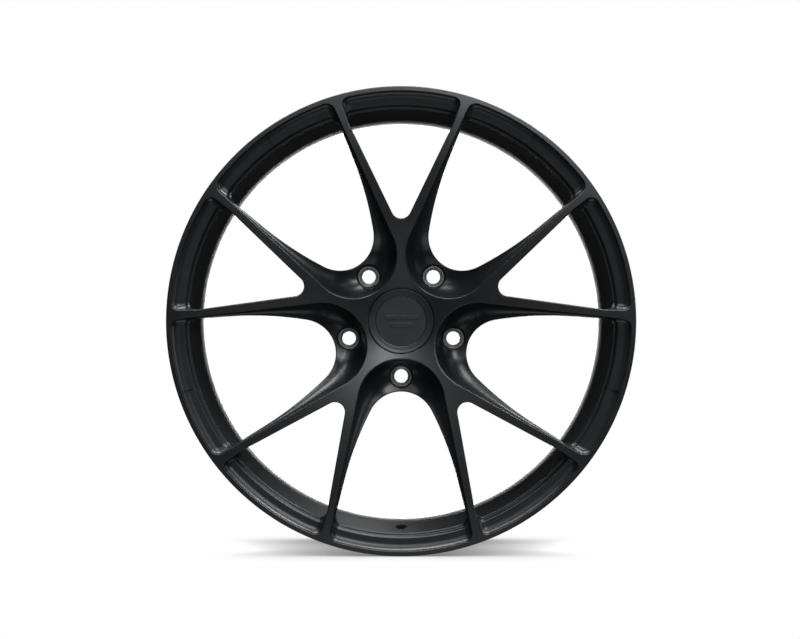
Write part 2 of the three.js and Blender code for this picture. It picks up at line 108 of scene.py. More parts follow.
O_RING_WIRE = (o_ring_high[1] - o_ring_low[1]) / 2
O_RING_RADIUS = o_ring_high[2] - O_RING_WIRE

# ---------------------------------------------------------------- sizes of the shape's details

SPOKES = 5
HALF_TURN = math.pi / SPOKES
GAP_SIN = math.sin(HALF_TURN)
GAP_COS = math.cos(HALF_TURN)

DISH_DEPTH = 36.0
CROWN_RADIUS = 225.0
LIP_FRONT = RIM_RADIUS - 1.2
CAP_SEAT_RADIUS = 39.0
CAP_SEAT_DEPTH = 40.0
BORE_RADIUS = 35.8
PAD_RADIUS = 80.0
PAD_BEVEL = 11.0
BOLT_HOLE_RADIUS = 8.0
POCKET_FLOOR = SEAT_TOP - 0.2
COVE_REACH = 27.0
RING_RADIUS = 247.4
RING_DEPTH = 17.0
RING_END_RADIUS = 237.8
LIP_POCKET_RADIUS = 267.8
LIP_FILLET = 8.6
CORNER = 9.4
SEAT_HOLE = SEAT_RADIUS + 0.3
JOIN_GAP = 0.3

EDGE = 0.9  # how round the ridges are
WINDOW_EDGE = 1.3  # how round the edges along the windows are
STEP = 1.9  # distance between points along an outline
TURN_STEPS = 360


# ---------------------------------------------------------------- plan outlines


class Outline:
    """Half of a shape that is a mirror image of itself across its own axis.

    It starts on the axis, follows arcs, goes on as a straight side that leans away from the axis, and ends in
    a rounded corner and an arc about the wheel's centre. Points are (across, along) the axis. Each arc is its
    centre (across, along), its radius, and how far round from the axis it ends.
    """

    def __init__(self, arcs, lean, end_radius):
        self.arcs = arcs
        self.lean = lean
        self.end_radius = end_radius

    def side_depth(self, across, along):
        """How far inside the arcs and the side a point lies."""
        across = np.abs(across)
        sin, cos = math.sin(self.lean), math.cos(self.lean)
        centre_across, centre_along, radius, _ = self.arcs[-1]
        x, y = across - centre_across, along - centre_along
        depth = np.where(x * sin + y * cos > 0, radius - (x * cos - y * sin), radius - np.hypot(x, y))
        for centre_across, centre_along, radius, end in self.arcs[:-1]:
            x, y = across - centre_across, along - centre_along
            depth = np.where(np.arctan2(x, -y) < end, radius - np.hypot(x, y), depth)
        return depth

    def inside(self, across, along):
        """How far inside the whole shape a point lies, with its corner rounded."""
        side = self.side_depth(across, along)
        end = self.end_radius - np.hypot(across, along)
        rounded = CORNER - np.hypot(CORNER - side, CORNER - end)
        return np.where((side < CORNER) & (end < CORNER), rounded, np.minimum(side, end))

    def side_point(self, side, radius):
        """The point of the straight side, moved in by side, that is radius from the wheel's centre."""
        sin, cos = math.sin(self.lean), math.cos(self.lean)
        centre_across, centre_along, arc_radius, _ = self.arcs[-1]
        out = arc_radius - side + centre_across * cos - centre_along * sin
        up = math.sqrt(radius**2 - out**2)
        return out * cos + up * sin, up * cos - out * sin

    def start_line(self, inset):
        """The arcs and the straight side, moved in by inset, up to where the corner starts."""
        points = []
        start = 0.0
        for centre_across, centre_along, radius, end in self.arcs:
            if radius > inset:
                count = max(2, int((end - start) * (radius - inset) / STEP))
                for angle in np.linspace(start, end, count):
                    across = centre_across + (radius - inset) * math.sin(angle)
                    points.append((across, centre_along - (radius - inset) * math.cos(angle)))
            start = end
        return extend(points, self.side_point(inset, self.end_radius - CORNER))

    def side_line(self, inset, start_radius):
        """The outer part of the straight side, moved in by inset, up to where the corner starts."""
        end = self.side_point(inset, self.end_radius - CORNER)
        return extend([self.side_point(inset, start_radius)], end)

    def end_line(self, inset):
        """The rounded corner and the arc about the wheel's centre, moved in by inset, as far as the axis."""
        points = []
        for angle in np.linspace(0, math.pi / 2, 14):
            side = CORNER - (CORNER - inset) * math.cos(angle)
            end = CORNER - (CORNER - inset) * math.sin(angle)
            points.append(self.side_point(side, self.end_radius - end))
        across, along = points[-1]
        angle = math.atan2(across, along)
        radius = math.hypot(across, along)
        steps = max(2, int(math.degrees(angle)) + 1)
        for turn in np.linspace(angle, 0, steps)[1:]:
            points.append((radius * math.sin(turn), radius * math.cos(turn)))
        return points


def extend(points, last):
    """points and a straight stretch on to last, in even steps."""
    start = np.array(points[-1])
    stretch = np.array(last) - start
    count = max(1, int(np.hypot(*stretch) / STEP))
    return points + [tuple(start + stretch * (i + 1) / count) for i in range(count)]


def from_gap_frame(points):
    """Points drawn about the middle of the gap, in the wheel's plan."""
    return [
        (along * GAP_SIN - across * GAP_COS, along * GAP_COS + across * GAP_SIN)
        for across, along in points
    ]


def gap_coordinates(x, z):
    """(across, along) the middle of the gap for a point of the wheel's plan."""
    return z * GAP_SIN - x * GAP_COS, x * GAP_SIN + z * GAP_COS


def leaning_u(centre, radius, lean, end_radius):
    return Outline([(0.0, centre, radius, math.pi / 2 - lean)], lean, end_radius)


def gap_window_outline():
    """A round bottom that opens out through a long curve into leaning sides."""
    centre, radius, turn = 123.4, 40.2, 1.1
    side_radius, lean = 389.0, 0.2513
    side_across = (radius - side_radius) * math.sin(turn)
    side_along = centre - (radius - side_radius) * math.cos(turn)
    arcs = [(0.0, centre, radius, turn), (side_across, side_along, side_radius, math.pi / 2 - lean)]
    return Outline(arcs, lean, RING_RADIUS)


fork_window = leaning_u(131.3, 11.6, 0.452, RING_RADIUS)
gap_window = gap_window_outline()
gap_pocket = leaning_u(96.3, 51.0, 0.2, LIP_POCKET_RADIUS)
fork_pocket = Outline([(59.0, 225.0, 0.0, math.pi / 2 - 0.35)], 0.35, LIP_POCKET_RADIUS)


# ---------------------------------------------------------------- depths of the face and the back


def smooth(value, start, end):
    t = np.clip((value - start) / (end - start), 0, 1)
    return t * t * (3 - 2 * t)


def soft_least(a, b, softness):
    """The smaller of a and b, with the corner between them rounded."""
    return (a + b - np.sqrt((a - b) ** 2 + softness**2)) / 2


def rounded_edge(distance, radius):
    """How much a rounded edge has dropped at a distance in from the edge."""
    left = np.clip(radius - distance, 0, radius)
    return radius - np.sqrt(radius**2 - left**2)


def quarter_arc(distance, reach):
    """A quarter arc that starts upright at 0 and ends level at reach, as a share of its drop."""
    left = 1 - np.clip(distance / reach, 0, 1)
    return np.sqrt(1 - left**2)


def dish(radius):
    """The dish that every ridge lies in: steep at the hub, furthest forward at the crown near the lip."""
    return DISH_DEPTH * (1 - radius / CROWN_RADIUS) ** 2


def pocket_floor(radius):
    """Depth of the pockets' floor: flat around the axle, then a cone that climbs outwards."""
    return POCKET_FLOOR - 0.3 + soft_least(0, -0.22 * (radius - 69), 2.0)


def windows_distance(x, z):
    """How far a point is outside the gap window and outside the fork window."""
    across, along = gap_coordinates(x, z)
    return -gap_window.inside(across, along), -fork_window.inside(x, z)


def scoop_depth(in_scoop, from_gap, radius):
    """Depth of the ridge and, inside the scoop's outline, of the cove that falls from it to the window."""
    top = dish(radius)
    width = in_scoop + from_gap
    ridge_round = EDGE + 0.9 * smooth(width, 18, 34)
    drop = soft_least(pocket_floor(radius) - top, 1.15 * width + 3, 10.0) - ridge_round
    reach = np.clip(width, 1e-6, COVE_REACH)
    cove = ridge_round + drop * quarter_arc(in_scoop, reach)
    return top + np.where(in_scoop > 0, cove, rounded_edge(-in_scoop, ridge_round))


def lip_depth(in_pocket, from_window, radius):
    """Depth of the lip and of its pockets: a wall, a floor, and a step down around the window."""
    floor = 8.2 + 0.12 * (262 - radius) + 4.8 * (1 - smooth(from_window, 2.4, 5.6))
    drop = floor - dish(radius) - EDGE
    wall = EDGE + drop * quarter_arc(in_pocket, LIP_FILLET)
    return dish(radius) + np.where(in_pocket > 0, wall, rounded_edge(-in_pocket, EDGE))


def face_depth(x, z):
    """How far behind the front plane the face lies, at points of the wedge."""
    radius = np.hypot(x, z)
    across, along = gap_coordinates(x, z)
    from_gap, from_fork = (np.maximum(distance, 0) for distance in windows_distance(x, z))
    from_window = np.minimum(from_gap, from_fork)
    in_scoop = gap_pocket.inside(across, along)
    in_pocket = np.maximum(in_scoop, fork_pocket.inside(x, z))
    in_lip = smooth(radius, 236, 247)
    depth = scoop_depth(in_scoop, from_gap, radius) * (1 - in_lip)
    depth += lip_depth(in_pocket, from_window, radius) * in_lip

    # A spot face is cut around each lug seat.
    past_spot = np.maximum(np.hypot(across, along - BOLT_CIRCLE) - SEAT_HOLE - 1.4, 0)
    depth = np.where(along < 100, np.maximum(depth, POCKET_FLOOR - 14 * past_spot), depth)
    return depth + rounded_edge(from_window, WINDOW_EDGE) + rounded_edge(radius - CAP_SEAT_RADIUS, 0.6)


def back_depth(x, z):
    """How far behind the front plane the back of the hub and the spokes lies."""
    radius = np.hypot(x, z)
    from_window = np.maximum(np.minimum(*windows_distance(x, z)), 0)
    spoke_back = 66 - 0.4335 * (radius - HUB_RADIUS) + 0.0016 * (radius - HUB_RADIUS) ** 2
    pad = smooth(radius, PAD_RADIUS + PAD_BEVEL, PAD_RADIUS)
    depth = spoke_back + (BOLT_FACE - spoke_back) * pad
    return depth - rounded_edge(from_window, 1.6) - rounded_edge(radius - BORE_RADIUS, 1.0)


# ---------------------------------------------------------------- surfaces


class Surface:
    """Corners, each with its own normal, and faces."""

    def __init__(self):
        self.points = []
        self.normals = []
        self.faces = []
        self.count = 0

    def add(self, points, normals, faces):
        self.points.append(np.asarray(points, float))
        self.normals.append(np.asarray(normals, float))
        self.faces += [tuple(int(i) + self.count for i in face) for face in faces]
        self.count += len(points)
        return self

    def join(self, other):
        points, normals, faces = other.arrays()
        return self.add(points, normals, faces)

    def arrays(self):
        return np.concatenate(self.points), np.concatenate(self.normals), self.faces

    def where(self, chosen):
        """The part whose faces have middles that chosen() accepts."""
        points, normals, faces = self.arrays()
        middles = np.array([points[list(face)].mean(axis=0) for face in faces])
        kept = [face for face, wanted in zip(faces, chosen(middles)) if wanted]
        used = np.unique(np.concatenate([np.array(face) for face in kept]))
        place = np.full(len(points), -1)
        place[used] = np.arange(len(used))
        return Surface().add(points[used], normals[used], [tuple(place[list(face)]) for face in kept])

    def turned_by(self, angle, mirrored=False):
        """The surface turned about the axle, clockwise from the front, mirrored in x first if asked."""
        points, normals, faces = self.arrays()
        mirror = np.array([-1 if mirrored else 1, 1, 1])
        cos, sin = math.cos(angle), math.sin(angle)
        spin = np.array([[cos, 0, sin], [0, 1, 0], [-sin, 0, cos]]).T
        if mirrored:
            faces = [face[::-1] for face in faces]
        return Surface().add((points * mirror) @ spin, (normals * mirror) @ spin, faces)


def joined(surfaces):
    whole = Surface()
    for surface in surfaces:
        whole.join(surface)
    return whole


def turned(profile, steps=TURN_STEPS, centre=(0.0, 0.0), skipped=None, sharp=35.0):
    """A ring about the axle, or about a centre in plan, from (radius, depth) points.

    Walking along the profile with radius to the right and depth upwards, the air is on the right. Corners of
    more than sharp degrees stay sharp. skipped(segment, step) says which quads to leave out.
    """
    profile = np.array(profile, float)
    forward = np.diff(profile, axis=0)
    side = np.stack([forward[:, 1], -forward[:, 0]], axis=1)
    side /= np.linalg.norm(side, axis=1, keepdims=True)
    closed = np.allclose(profile[0], profile[-1])
    angles = np.linspace(0, 2 * math.pi, steps, endpoint=False)
    sin, cos = np.sin(angles), np.cos(angles)
    limit = math.cos(math.radians(sharp))
    surface = Surface()
    for i, own in enumerate(side):
        before = side[i - 1] if i > 0 or closed else own
        after = side[(i + 1) % len(side)] if i + 1 < len(side) or closed else own
        points, normals = [], []
        for (radius, depth), near in ((profile[i], before), (profile[i + 1], after)):
            normal = own + near if own @ near > limit else own
            normal = normal / np.linalg.norm(normal)
            ring = (centre[0] + radius * sin, np.full(steps, FRONT + depth), centre[1] + radius * cos)
            points.append(np.stack(ring, 1))
            normals.append(np.stack([normal[0] * sin, np.full(steps, normal[1]), normal[0] * cos], 1))
        quads = [
            (j, (j + 1) % steps, (j + 1) % steps + steps, j + steps)
            for j in range(steps)
            if not (skipped and skipped(i, j))
        ]
        if quads:
            surface.add(np.concatenate(points), np.concatenate(normals), quads)
    return surface


def arc_points(radius, depth, size, start, end, steps):
    """Profile points on an arc about (radius, depth), with angles in degrees: 0 outwards, 90 backwards."""
    angles = np.radians(np.linspace(start, end, steps + 1))
    return [(radius + size * math.cos(a), depth + size * math.sin(a)) for a in angles]


# ---------------------------------------------------------------- the wedge's mesh


class Plan:
    """Points and edges of the wedge, for a constrained triangulation."""

    def __init__(self, inner_radius, outer_radius):
        self.inner_radius = inner_radius
        self.outer_radius = outer_radius
        self.points = []
        self.edges = []
        count = int((outer_radius - inner_radius) / STEP)
        for angle in (0, HALF_TURN):
            radii = np.linspace(inner_radius, outer_radius, count + 1)
            self.line([(r * math.sin(angle), r * math.cos(angle)) for r in radii])

    def line(self, points):
        """Adds the stretches of a line that lie in the wedge."""
        previous = False
        for point in points:
            held = self.holds(point)
            if held:
                if previous:
                    self.edges.append((len(self.points) - 1, len(self.points)))
                self.points.append(point)
            previous = held

    def holds(self, point):
        x, z = point
        radius, angle = math.hypot(x, z), math.atan2(x, z)
        slack = 1e-6
        in_ring = self.inner_radius - slack <= radius <= self.outer_radius + slack
        return in_ring and -slack <= angle <= HALF_TURN + slack

    def arc(self, radius):
        """An arc about the axle, with the same steps as the turned rings."""
        angles = np.linspace(0, HALF_TURN, TURN_STEPS // (2 * SPOKES) + 1)
        self.line([(radius * math.sin(a), radius * math.cos(a)) for a in angles])

    def windows(self, distances):
        """Lines around both windows, at distances outside them."""
        for distance in distances:
            self.line(fork_window.start_line(-distance) + fork_window.end_line(-distance)[1:])
            gap_line = gap_window.start_line(-distance) + gap_window.end_line(-distance)[1:]
            self.line(from_gap_frame(gap_line))

    def bolt_circle(self, radius):
        angles = np.linspace(0, math.pi, 31)
        circle = [(radius * math.sin(a), BOLT_CIRCLE - radius * math.cos(a)) for a in angles]
        self.line(from_gap_frame(circle))

    def scatter(self, spacing):
        """Loose points on a triangular grid, clear of the lines."""
        lines = np.array(self.points)
        row_height = spacing * math.sqrt(3) / 2
        for row in range(int(self.outer_radius / row_height) + 1):
            for column in range(int(self.outer_radius * GAP_SIN / spacing) + 2):
                point = ((column + 0.5 * (row % 2)) * spacing, row * row_height)
                if not self.holds(point):
                    continue
                if np.min(np.hypot(lines[:, 0] - point[0], lines[:, 1] - point[1])) > 0.6 * spacing:
                    self.points.append(point)

    def surface(self, hole_radius, depth_at, front):
        """The triangulated plan outside the windows and the bolt hole, lifted to its depth."""
        points, _, faces, _, _, _ = delaunay_2d_cdt(self.points, self.edges, [], 0, 1e-4)
        points = np.array([tuple(p) for p in points])
        faces = np.array([tuple(f) for f in faces])
        x, z = points[faces].mean(axis=1).T
        across, along = gap_coordinates(x, z)
        on_metal = np.minimum(*windows_distance(x, z)) > 0
        off_hole = np.hypot(across, along - BOLT_CIRCLE) > hole_radius - 0.02
        faces = facing(points, faces[on_metal & off_hole], front)
        x, z = points.T
        depths = depth_at(x, z)
        lifted = np.stack([x, FRONT + depths, z], axis=1)
        return Surface().add(lifted, depth_normals(depth_at, x, z, front), faces)


def facing(points, faces, front):
    """The triangles, turned so that they face the front or the back."""
    a, b, c = (points[faces[:, i]] for i in range(3))
    area = (b[:, 0] - a[:, 0]) * (c[:, 1] - a[:, 1]) - (b[:, 1] - a[:, 1]) * (c[:, 0] - a[:, 0])
    flip = (area < 0) == front
    faces = faces.copy()
    faces[flip] = faces[flip][:, ::-1]
    return faces


def depth_normals(depth_at, x, z, front):
    reach = 0.04
    sign = -1.0 if front else 1.0
    slope_x = (depth_at(x + reach, z) - depth_at(x - reach, z)) / (2 * reach)
    slope_z = (depth_at(x, z + reach) - depth_at(x, z - reach)) / (2 * reach)
    normals = np.stack([-sign * slope_x, np.full_like(x, sign), -sign * slope_z], axis=1)
    return normals / np.linalg.norm(normals, axis=1, keepdims=True)


def face_surface():
    plan = Plan(CAP_SEAT_RADIUS, LIP_FRONT)
    for radius in (0, 0.08, 0.25, 0.6, 1.1):
        plan.arc(CAP_SEAT_RADIUS + radius)
    for radius in (HUB_RADIUS, RING_RADIUS, 268.6, 270.2, 271.6, LIP_FRONT):
        plan.arc(radius)
    plan.windows((0, 0.1, 0.3, 0.6, 0.95, WINDOW_EDGE, 1.8))
    for inset in (-2.2, -1.5, -0.9, -0.6, -0.3, -0.08, 0, 0.06, 0.2):
        plan.line(from_gap_frame(gap_pocket.start_line(inset)))
    edge_insets = (-1.4, -0.9, -0.6, -0.35, -0.12, 0, 0.06, 0.25)
    wall_insets = (*edge_insets, 0.6, 1.1, 1.8, 2.6, 3.6, 4.8, 6.1, 7.4, LIP_FILLET)
    for inset in wall_insets:
        plan.line(fork_pocket.side_line(inset, 242) + fork_pocket.end_line(inset)[1:])
        plan.line(from_gap_frame(gap_pocket.side_line(inset, 242) + gap_pocket.end_line(inset)[1:]))
    for distance in (1.9, 2.4, 3.0, 3.6, 4.2, 4.8, 5.4, 6.0, 6.6):
        plan.line(fork_window.end_line(-distance))
        plan.line(from_gap_frame(gap_window.end_line(-distance)))
    for line in scoop_lines():
        plan.line(from_gap_frame(line))
    for past in (0, 0.7, 1.4, 1.7, 2.1):
        plan.bolt_circle(SEAT_HOLE + past)
    plan.scatter(3.2)
    return plan.surface(SEAT_HOLE, face_depth, True)


def scoop_lines():
    """Lines that run along the scoop, close together where its wall is steep."""
    ridge = even_points(gap_pocket.start_line(0), 70.0)
    window = even_points(gap_window.start_line(0), 38.0)
    levels = 14
    for level in range(1, levels):
        share = (level / levels) ** 1.7
        yield [tuple(point) for point in ridge * (1 - share) + window * share]


def even_points(line, knee_length, count=160, knee_share=0.42):
    """count points along a line, with the share knee_share of them before knee_length along it."""
    line = np.array(line)
    lengths = np.concatenate([[0], np.cumsum(np.hypot(*np.diff(line, axis=0).T))])
    wanted = np.interp(np.linspace(0, 1, count), [0, knee_share, 1], [0, knee_length, lengths[-1]])
    return np.stack([np.interp(wanted, lengths, line[:, 0]), np.interp(wanted, lengths, line[:, 1])], axis=1)


def back_surface():
    plan = Plan(BORE_RADIUS, RING_RADIUS)
    for radius in (0, 0.1, 0.4, 1.0, 2.0):
        plan.arc(BORE_RADIUS + radius)
    for radius in (PAD_RADIUS, PAD_RADIUS + 3, PAD_RADIUS + 6, PAD_RADIUS + 9, PAD_RADIUS + PAD_BEVEL):
        plan.arc(radius)
    plan.arc(HUB_RADIUS)
    plan.windows((0, 0.2, 0.6, 1.1, 1.6))
    plan.bolt_circle(BOLT_HOLE_RADIUS)
    plan.scatter(5.0)
    return plan.surface(BOLT_HOLE_RADIUS, back_depth, False)


def window_walls(face):
    """Walls from the face's window edges to the back, except where the ring's inside takes over."""
    points, _, faces = face.arrays()
    edges = {(a, b) for f in faces for a, b in zip(f, f[1:] + f[:1])}
    rims = np.array([edge for edge in edges if edge[::-1] not in edges])
    x, _, z = ((points[rims[:, 0]] + points[rims[:, 1]]) / 2).T
    on_window = np.abs(np.minimum(*windows_distance(x, z))) < 0.05
    rims = rims[on_window & (np.hypot(x, z) < RING_RADIUS - 0.1)]
    used = np.unique(rims)
    place = {int(v): i for i, v in enumerate(used)}
    x, _, z = points[used].T
    reach = 0.05
    distance = lambda x, z: np.minimum(*windows_distance(x, z))
    towards_x = distance(x - reach, z) - distance(x + reach, z)
    towards_z = distance(x, z - reach) - distance(x, z + reach)
    normals = np.stack([towards_x, np.zeros_like(x), towards_z], axis=1)
    normals /= np.linalg.norm(normals, axis=1, keepdims=True)
    rear = np.stack([x, FRONT + back_depth(x, z), z], axis=1)
    quads = [(place[b], place[a], place[a] + len(used), place[b] + len(used)) for a, b in rims.tolist()]
    return Surface().add(np.concatenate([points[used], rear]), np.concatenate([normals, normals]), quads)


# ---------------------------------------------------------------- the barrel and the valve hole

FLANGE_THICKNESS = 12.7
FLANGE_CURVE = 9.5
BEAD_RADIUS = 256.4
BEAD_END = FLANGE_THICKNESS + 17
REAR_BEAD_START = RIM_WIDTH - BEAD_END
WELL_RADIUS = 239.3
WELL_INNER_RADIUS = 234.6
WELL_START = 62.0
WELL_END = 110.0
WALL = 4.0
REAR_BARREL_RADIUS = 252.9
REAR_LIP_INNER = 246.0

VALVE_HOLE_RADIUS = 5.65
VALVE_SPOT_RADIUS = 7.5
VALVE_SPOT_DEPTH = 1.2
VALVE_DEPTH = 37.0
VALVE_PATCH = 6  # how many steps of the ring the patch with the hole spans on each side

inner_cone = ((RING_END_RADIUS, RING_END), (RING_RADIUS, RING_DEPTH + 1))
outer_cone = ((BEAD_RADIUS - 2.6, BEAD_END + 5), (RING_END_RADIUS + 5.6, RING_END))


def beyond(start, end, reach):
    """A point on the line from start to end, a little past its end."""
    share = 1 + reach / math.dist(start, end)
    return tuple(a + (b - a) * share for a, b in zip(start, end))


def outer_profile():
    """The barrel's outside, from the lip's front edge to the rear lip."""
    curve = RIM_RADIUS - 0.1 - FLANGE_CURVE
    bead_edge = BEAD_RADIUS + 1.4
    points = [(LIP_FRONT, float(dish(LIP_FRONT)))]
    points += arc_points(RIM_RADIUS - 1.4, float(dish(LIP_FRONT)) + 1.4, 1.3, -80, 0, 5)
    points += arc_points(curve, FLANGE_THICKNESS - FLANGE_CURVE, FLANGE_CURVE, 0, 90, 12)
    points += arc_points(bead_edge, FLANGE_THICKNESS + 1.4, -1.4, 90, 0, 5)
    points += [(BEAD_RADIUS - 1.5, BEAD_END)]
    points += [
        (BEAD_RADIUS - 1.5 + 0.9 * math.sin(t), BEAD_END + 5 * t / math.pi)
        for t in (0.8, 1.57, 2.3, 3.1)
    ]
    points += [*outer_cone, beyond(*outer_cone, 1.0), (240.4, RING_END + 6)]
    points += [(WELL_RADIUS, WELL_START + 2), (WELL_RADIUS, WELL_END - 2)]
    points += [(239.8, WELL_END + 1.5), (240.9, WELL_END + 5), (251.4, 175)]
    points += [(REAR_BARREL_RADIUS, REAR_START), (REAR_BARREL_RADIUS + 0.6, REAR_START + 0.6)]
    hump = REAR_BEAD_START - 5
    points += [
        (BEAD_RADIUS - 1.5 + 0.9 * math.sin(t), hump + 5 * t / math.pi)
        for t in (0, 0.8, 1.57, 2.3, 3.1)
    ]
    rear = RIM_WIDTH - FLANGE_THICKNESS
    points += arc_points(bead_edge, rear - 1.4, -1.4, 0, -90, 5)
    points += arc_points(curve, rear + FLANGE_CURVE, FLANGE_CURVE, -90, 0, 12)
    points += arc_points(RIM_RADIUS - 1.4, RIM_WIDTH - 1.3, 1.3, 0, 90, 5)
    return points


def inner_profile():
    """The barrel's inside, from the rear lip to the ring's front edge."""
    points = arc_points(RIM_RADIUS - FLANGE_CURVE + 3, RIM_WIDTH - 2, 2, 90, 150, 4)
    points += arc_points(REAR_LIP_INNER + 9, RIM_WIDTH - 14, -9, -50, 0, 8)
    points += [(REAR_LIP_INNER, RIM_WIDTH - 26), (REAR_BARREL_RADIUS - WALL, REAR_START), (247.4, 175)]
    points += [(240.9 - WALL, WELL_END + 5), (235.4, WELL_END + 1), (WELL_INNER_RADIUS, WELL_END - 3)]
    points += [(WELL_INNER_RADIUS, WELL_START + 12), (235.2, WELL_START + 5)]
    points += [beyond(inner_cone[1], inner_cone[0], 1.0), *inner_cone]
    window_edge = float(face_depth(np.zeros(1), np.array([RING_RADIUS]))[0])
    return points + [(RING_RADIUS, window_edge)]


def on_patch(step):
    """Whether a step of the ring lies in the patch around the valve hole, straight below the axle."""
    middle = TURN_STEPS // 2
    return middle - VALVE_PATCH <= step < middle + VALVE_PATCH


def ring_profile(points, cone):
    """A turned profile that leaves out the patch of its cone where the valve hole goes."""
    cone_segment = points.index(cone[0])
    skipped = lambda segment, step: segment == cone_segment and on_patch(step)
    return turned(points, skipped=skipped, sharp=14.0)


def valve_circle(radius, cone, count=32):
    """Where a bar along the valve hole's axis meets a cone of the ring, as points."""
    (inner_radius, inner_depth), (outer_radius, outer_depth) = cone
    slope = (outer_radius - inner_radius) / (outer_depth - inner_depth)
    origin, axis, side = valve_frame()
    points = []
    for angle in np.linspace(0, 2 * math.pi, count, endpoint=False):
        offset = radius * (math.cos(angle) * side + math.sin(angle) * np.array([1.0, 0, 0]))
        start = origin + offset
        along = 0.0
        for _ in range(12):
            point = start + along * axis
            wanted = inner_radius + slope * (point[1] - FRONT - inner_depth)
            along += (wanted - math.hypot(point[0], point[2])) * 0.95
        points.append(start + along * axis)
    return np.array(points)


def valve_frame():
    """The valve hole's place on the ring's inside, its outward direction, and a direction square to both."""
    tilt = math.atan((RING_RADIUS - RING_END_RADIUS) / (RING_END - RING_DEPTH - 1))
    radius = RING_RADIUS - math.tan(tilt) * (VALVE_DEPTH - RING_DEPTH - 1)
    origin = np.array([0.0, FRONT + VALVE_DEPTH, -radius])
    outwards = np.array([0.0, math.sin(tilt), -math.cos(tilt)])
    sideways = np.array([0.0, math.cos(tilt), math.sin(tilt)])
    return origin, outwards, sideways


def cone_patch(cone, circle, outwards):
    """The part of a cone around the valve hole, triangulated about the circle that the hole makes in it."""
    (start_radius, start_depth), (end_radius, end_depth) = cone
    slope = (end_radius - start_radius) / (end_depth - start_depth)
    steps = np.arange(-VALVE_PATCH, VALVE_PATCH + 1) * 2 * math.pi / TURN_STEPS
    scale = start_radius
    frame_points = [(s * scale, start_depth) for s in steps] + [(s * scale, end_depth) for s in steps[::-1]]
    hole_points = [(-math.atan2(-x, -z) * scale, y - FRONT) for x, y, z in circle]
    loose = []
    for i in range(-4, 5):
        for depth in np.linspace(start_depth, end_depth, 7)[1:-1]:
            place = (i * 4.6, float(depth))
            off_edge = min(math.dist(place, hole) for hole in hole_points) > 3
            if off_edge and math.dist(place, (0, VALVE_DEPTH)) > 9:
                loose.append(place)
    points = frame_points + hole_points + loose
    count = len(frame_points)
    edges = [(i, (i + 1) % count) for i in range(count)]
    edges += [(count + i, count + (i + 1) % len(hole_points)) for i in range(len(hole_points))]
    flat, _, faces, _, _, _ = delaunay_2d_cdt(points, edges, [], 0, 1e-4)
    hole_middle = np.array(hole_points).mean(axis=0)
    hole_reach = min(math.dist(hole_middle, hole) for hole in hole_points)
    lifted, normals, kept = [], [], []
    for u, depth in flat:
        radius = start_radius + slope * (depth - start_depth)
        turn = math.pi - u / scale
        lifted.append((radius * math.sin(turn), FRONT + depth, radius * math.cos(turn)))
        normal = np.array([math.sin(turn), -slope, math.cos(turn)]) * (1 if outwards else -1)
        normals.append(normal / np.linalg.norm(normal))
    lifted = np.array(lifted)
    for face in faces:
        middle = np.mean([tuple(flat[i]) for i in face], axis=0)
        if math.dist(middle, hole_middle) > hole_reach * 0.98:
            a, b, c = (lifted[i] for i in face)
            flip = np.dot(np.cross(b - a, c - a), normals[face[0]]) < 0
            kept.append(tuple(face[::-1]) if flip else tuple(face))
    return Surface().add(lifted, normals, kept)


def tube(start, end, inwards_to):
    """A wall between two rings of points, facing the line that inwards_to gives a point of."""
    count = len(start)
    points = np.concatenate([start, end])
    axis = end.mean(axis=0) - start.mean(axis=0)
    axis /= np.linalg.norm(axis)
    normals = inwards_to - points
    normals -= np.outer(normals @ axis, axis)
    normals /= np.linalg.norm(normals, axis=1, keepdims=True)
    quads = [(i, (i + 1) % count, (i + 1) % count + count, i + count) for i in range(count)]
    a, b, c = (points[i] for i in quads[0][:3])
    if np.dot(np.cross(b - a, c - a), normals[0]) < 0:
        quads = [quad[::-1] for quad in quads]
    return Surface().add(points, normals, quads)


def valve_hole():
    """The spot face on the ring's inside and the hole through to the tyre's side."""
    origin, axis, side = valve_frame()
    spot_edge = valve_circle(VALVE_SPOT_RADIUS, inner_cone)
    angles = np.linspace(0, 2 * math.pi, len(spot_edge), endpoint=False)
    around = np.outer(np.cos(angles), side) + np.outer(np.sin(angles), [1.0, 0, 0])
    spot_middle = origin + VALVE_SPOT_DEPTH * axis
    spot_floor = spot_middle + VALVE_SPOT_RADIUS * around
    hole_start = spot_middle + VALVE_HOLE_RADIUS * around
    hole_end = valve_circle(VALVE_HOLE_RADIUS, outer_cone)
    count = len(around)
    ring = [(i, (i + 1) % count, (i + 1) % count + count, i + count) for i in range(count)]
    floor_points = np.concatenate([spot_floor, hole_start])
    a, b, c = (floor_points[i] for i in ring[0][:3])
    if np.dot(np.cross(b - a, c - a), axis) > 0:
        ring = [quad[::-1] for quad in ring]
    return joined(
        [
            cone_patch(inner_cone, spot_edge, False),
            cone_patch(outer_cone, hole_end, True),
            tube(spot_edge, spot_floor, origin),
            Surface().add(floor_points, np.tile(-axis, (2 * count, 1)), ring),
            tube(hole_start, hole_end, origin),
        ]
    )


# ---------------------------------------------------------------- pieces


def to_piece(name, surface, material, body, replaced, origin=(0.0, 0.0, 0.0)):
    """A Blender object from a surface, with its own corner normals and its origin at a wheel point."""
    points, normals, faces = surface.arrays()
    mesh = bpy.data.meshes.new(name)
    mesh.from_pydata(((points - np.array(origin)) * MM).tolist(), [], faces)
    mesh.polygons.foreach_set("use_smooth", [True] * len(mesh.polygons))
    mesh.update()
    corners = np.zeros(len(mesh.loops), int)
    mesh.loops.foreach_get("vertex_index", corners)
    mesh.normals_split_custom_set(normals[corners].tolist())
    mesh.materials.append(material)
    piece = bpy.data.objects.new(name, mesh)
    piece.location = [c * MM for c in origin]
    bpy.context.scene.collection.objects.link(piece)
    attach(piece, body)
    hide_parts(*replaced)
    return piece


